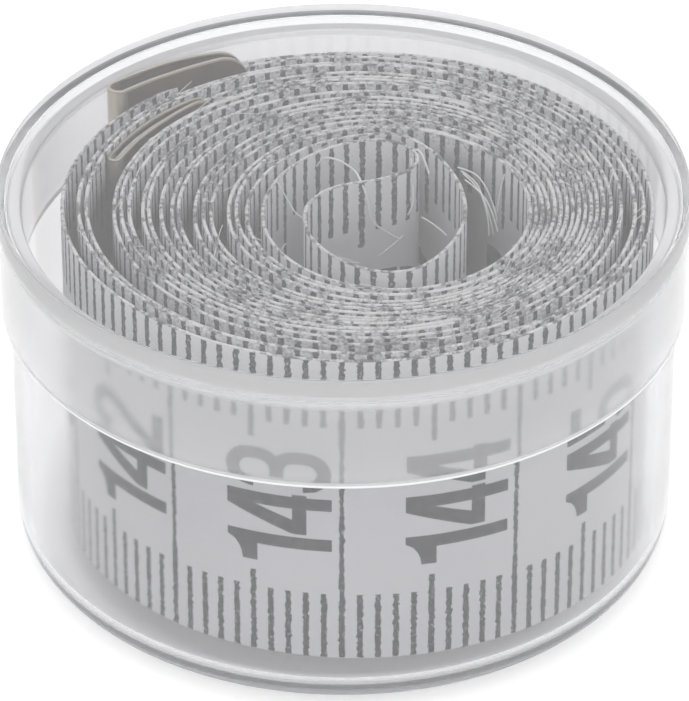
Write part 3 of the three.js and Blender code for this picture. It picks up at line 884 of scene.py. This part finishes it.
# Clear polystyrene: moulded glossy and see-through, with slow flow ripples in the surface and a faint haze
# in the plastic that lays a pale veil over what is behind it. The cup's rim and the outside of its foot are
# cloudier, and the foot throws a fuller shadow.
BASE_TINT = "#f6f6f8"
PLASTIC_IOR = 1.5
FLOW_NOISE = {"Scale": 90.0, "Detail": 2.0}
FLOW_BUMP = {"Strength": 0.05, "Distance": 0.2 * MM}
SHADOW_PASSES = 0.96
FOOT_HEIGHT = 1.4
FOOT_FADE_FROM = 1.12
FOOT_BELOW_FLOOR = 0.8
FOOT_INTO_WALL = 0.03
FOOT_HAZE = 0.4
FOOT_MILK = 0.55
FOOT_SHADOW_PASSES = 0.5


def clear_plastic(name, colour, finishes):
    """The plastic of one shell. Its finishes give, by height, the share of light that scatters back, the
    roughness, and the share that scatters on through."""
    material, tree = new_material(name)
    place = add(tree, "ShaderNodeTexCoord").outputs["Object"]
    flow = add(tree, "ShaderNodeTexNoise", {"Vector": place, **FLOW_NOISE}).outputs[0]
    ripple = add(tree, "ShaderNodeBump", {"Height": flow, **FLOW_BUMP}).outputs[0]
    height = add(tree, "ShaderNodeSeparateXYZ", {0: place}).outputs[2]
    bottom, top = finishes[0][0] * MM, finishes[-1][0] * MM
    share = add(tree, "ShaderNodeMapRange", {0: height, 1: bottom, 2: top}).outputs[0]
    finish = add(tree, "ShaderNodeValToRGB", {0: share})
    stops = finish.color_ramp.elements
    while len(stops) < len(finishes):
        stops.new(0.5)
    for stop, (level, haze, roughness, milk) in zip(stops, finishes):
        stop.position = (level * MM - bottom) / (top - bottom)
        stop.color = (1 - haze, roughness, milk, 1)
    finish = add(tree, "ShaderNodeSeparateColor", {0: finish.outputs[0]})
    flat = add(tree, "ShaderNodeVectorMath", {0: place, 1: (1, 1, 0)}, operation="MULTIPLY").outputs[0]
    radius = add(tree, "ShaderNodeVectorMath", {0: flat}, operation="LENGTH").outputs["Value"]
    outside = add(tree, "ShaderNodeMath", {0: radius, 1: (base_inside + FOOT_INTO_WALL) * MM},
                  operation="GREATER_THAN").outputs[0]
    beneath = add(tree, "ShaderNodeMath", {0: height, 1: FOOT_BELOW_FLOOR * MM},
                  operation="LESS_THAN").outputs[0]
    foot = add(tree, "ShaderNodeMath", {0: outside, 1: beneath}, operation="MAXIMUM").outputs[0]
    low = add(tree, "ShaderNodeMapRange", {0: height, 1: FOOT_FADE_FROM * MM, 2: FOOT_HEIGHT * MM, 3: 1.0,
              4: 0.0}).outputs[0]
    foot = add(tree, "ShaderNodeMath", {0: foot, 1: low}, operation="MULTIPLY").outputs[0]
    clear_share = add(tree, "ShaderNodeMath", {0: foot, 1: -FOOT_HAZE, 2: finish.outputs[0]},
                      operation="MULTIPLY_ADD").outputs[0]
    milk_share = add(tree, "ShaderNodeMath", {0: foot, 1: FOOT_MILK, 2: finish.outputs[2]},
                     operation="MULTIPLY_ADD").outputs[0]
    passes = add(tree, "ShaderNodeMath", {0: foot, 1: FOOT_SHADOW_PASSES - SHADOW_PASSES, 2: SHADOW_PASSES},
                 operation="MULTIPLY_ADD").outputs[0]
    shader = add(tree, "ShaderNodeBsdfPrincipled", {
        "Base Color": linear(colour), "Roughness": finish.outputs[1], "IOR": PLASTIC_IOR,
        "Transmission Weight": clear_share, "Normal": ripple})
    scatter = add(tree, "ShaderNodeBsdfTranslucent", {"Color": linear(colour)})
    milky = add(tree, "ShaderNodeMixShader", {0: milk_share, 1: shader.outputs[0], 2: scatter.outputs[0]})
    through = add(tree, "ShaderNodeBsdfTransparent", {"Color": passes})
    rays = add(tree, "ShaderNodeLightPath")
    lit = add(tree, "ShaderNodeMixShader", {0: rays.outputs["Is Shadow Ray"], 1: milky.outputs[0],
              2: through.outputs[0]})
    add(tree, "ShaderNodeOutputMaterial", {"Surface": lit.outputs[0]})
    return material


# Each finish is the share scattered back, the roughness and the share scattered on
WALL_FINISH = (0.06, 0.08, 0)
RIM_FINISH = (0.48, 0.2, 0)
base_finishes = [
    (0.0, 0.03, 0.15, 0), (0.85, 0.03, 0.09, 0), (2.2, 0.05, 0.08, 0), (4.0, *WALL_FINISH),
    (base_height - 0.5, *WALL_FINISH), (base_height - 0.3, *RIM_FINISH), (base_height, *RIM_FINISH)]
base.data.materials.append(clear_plastic("clear_moulded_polystyrene", BASE_TINT, base_finishes))
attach(base, "base")
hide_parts("box_base")


# Box lid
# A shallow clear cap of the same plastic, which slips over the outside of the cup and holds by friction.
# Its panel is thick and clear, with a milky side all round. The skirt is thin and slightly cloudy, with a
# bright lower edge.
LID_WALL = 0.45
LID_PANEL = 1.35
LID_TOP_ROUND = 0.22
LID_INNER_ROUND = 0.2
LID_EDGE_ROUND = 0.18
LID_TINT = "#fcfcfd"
LID_EDGE_FINISH = (0.9, 0.2, 0)
PANEL_FINISH = (0.015, 0.02, 0)
PANEL_SIDE_FINISH = (0.6, 0.15, 0.5)

lid_low, lid_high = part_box("box_lid")
lid_radius = lid_high.x / MM
lid_inside = lid_radius - LID_WALL
lid_edge = lid_low.z / MM
lid_top = lid_high.z / MM
underside = lid_top - LID_PANEL
lid = round_blank("clear_lid", lid_radius, lid_edge, lid_top)
hollow_out(lid, lid_edge, LID_WALL, underside - lid_edge)
round_edge(lid, lid_radius, lid_top, LID_TOP_ROUND, 10)
round_edge(lid, lid_inside, underside, LID_INNER_ROUND, 5)
round_edge(lid, lid_radius, lid_edge, LID_EDGE_ROUND, 3)
round_edge(lid, lid_inside, lid_edge, LID_EDGE_ROUND, 3)
finish_shell(lid)
lid_finishes = [
    (lid_edge, *LID_EDGE_FINISH), (lid_edge + 0.22, *LID_EDGE_FINISH), (lid_edge + 0.3, 0.13, 0.12, 0),
    (underside - 0.4, 0.15, 0.12, 0), (underside - 0.03, 0.25, 0.09, 0.12),
    (underside - 0.01, *PANEL_FINISH), (underside + 0.01, *PANEL_FINISH),
    (underside + 0.03, *PANEL_SIDE_FINISH), (lid_top - LID_TOP_ROUND, *PANEL_SIDE_FINISH),
    (lid_top - 0.05, 0.6, 0.1, 0.5), (lid_top - 0.01, *PANEL_FINISH), (lid_top, *PANEL_FINISH)]
lid.data.materials.append(clear_plastic("milky_moulded_polystyrene", LID_TINT, lid_finishes))
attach(lid, "lid")
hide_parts("box_lid")


# Floor and light
# A white paper floor in a pale surround, with soft light from two broad panels, overhead and in front. The
# floor adds light of its own only to what the camera sees, straight, in gloss or through the plastic, so
# that it looks white and keeps the shadow. Under the box it adds half as much.
FLOOR_SIZE = 6000 * MM
FLOOR_DROP = 0.05 * MM
FLOOR_WHITE = "#e9e9e9"
FLOOR_ROUGHNESS = 0.9
FLOOR_GLOW = 0.35
GLOW_UNDER_BOX = 0.5
GLOW_FADE_FROM = 1.2
GLOW_FADE_TO = 0.3
SURROUND_LIGHT = 0.92
SURROUND_SEEN = 1.0
LAMP_AIM = Vector((0, 0, 12 * MM))

# Name, place, width and watts of each lamp, in metres
LAMPS = (
    ("overhead_panel", (0.0, 0.12, 0.55), 0.5, 0.75),
    ("front_panel", (0.1, -0.6, 0.4), 0.5, 0.6),
)


def seen_by_camera(tree):
    """1 for what the camera sees straight, in gloss or through the plastic, and 0 for light on surfaces."""
    rays = add(tree, "ShaderNodeLightPath")
    seen = rays.outputs["Is Camera Ray"]
    for kind in ("Is Glossy Ray", "Is Transmission Ray"):
        seen = add(tree, "ShaderNodeMath", {0: seen, 1: rays.outputs[kind]}, operation="MAXIMUM").outputs[0]
    return seen


bpy.ops.object.select_all(action="DESELECT")
bpy.ops.mesh.primitive_plane_add(size=FLOOR_SIZE, location=(0, 0, -FLOOR_DROP))
floor = bpy.context.object
floor.name = "floor"
floor_material, tree = new_material("white_paper_floor")
place = add(tree, "ShaderNodeTexCoord").outputs["Object"]
from_middle = add(tree, "ShaderNodeVectorMath", {0: place}, operation="LENGTH").outputs["Value"]
standing = base_radius - BASE_FOOT_ROUND
glow = add(tree, "ShaderNodeMapRange", {
    0: from_middle, 1: (standing - GLOW_FADE_FROM) * MM, 2: (standing - GLOW_FADE_TO) * MM,
    3: GLOW_UNDER_BOX * FLOOR_GLOW, 4: FLOOR_GLOW}).outputs[0]
glow = add(tree, "ShaderNodeMath", {0: seen_by_camera(tree), 1: glow}, operation="MULTIPLY").outputs[0]
paper = add(tree, "ShaderNodeBsdfPrincipled", {
    "Base Color": linear(FLOOR_WHITE), "Roughness": FLOOR_ROUGHNESS, "Emission Color": (1, 1, 1, 1),
    "Emission Strength": glow})
add(tree, "ShaderNodeOutputMaterial", {"Surface": paper.outputs[0]})
floor.data.materials.append(floor_material)

world = bpy.data.worlds.new("studio")
bpy.context.scene.world = world
world.use_nodes = True
tree = world.node_tree
tree.nodes.clear()
strength = {0: seen_by_camera(tree), 3: SURROUND_LIGHT, 4: SURROUND_SEEN}
strength = add(tree, "ShaderNodeMapRange", strength).outputs[0]
surround = add(tree, "ShaderNodeBackground", {"Color": (1, 1, 1, 1), "Strength": strength})
add(tree, "ShaderNodeOutputWorld", {"Surface": surround.outputs[0]})

for name, place, width, watts in LAMPS:
    bpy.ops.object.light_add(type="AREA", location=place)
    lamp = bpy.context.object
    lamp.name = name
    lamp.data.shape = "SQUARE"
    lamp.data.size = width
    lamp.data.energy = watts
    lamp.rotation_euler = (LAMP_AIM - Vector(place)).to_track_quat("-Z", "Y").to_euler()

bpy.context.scene.view_settings.view_transform = "Standard"
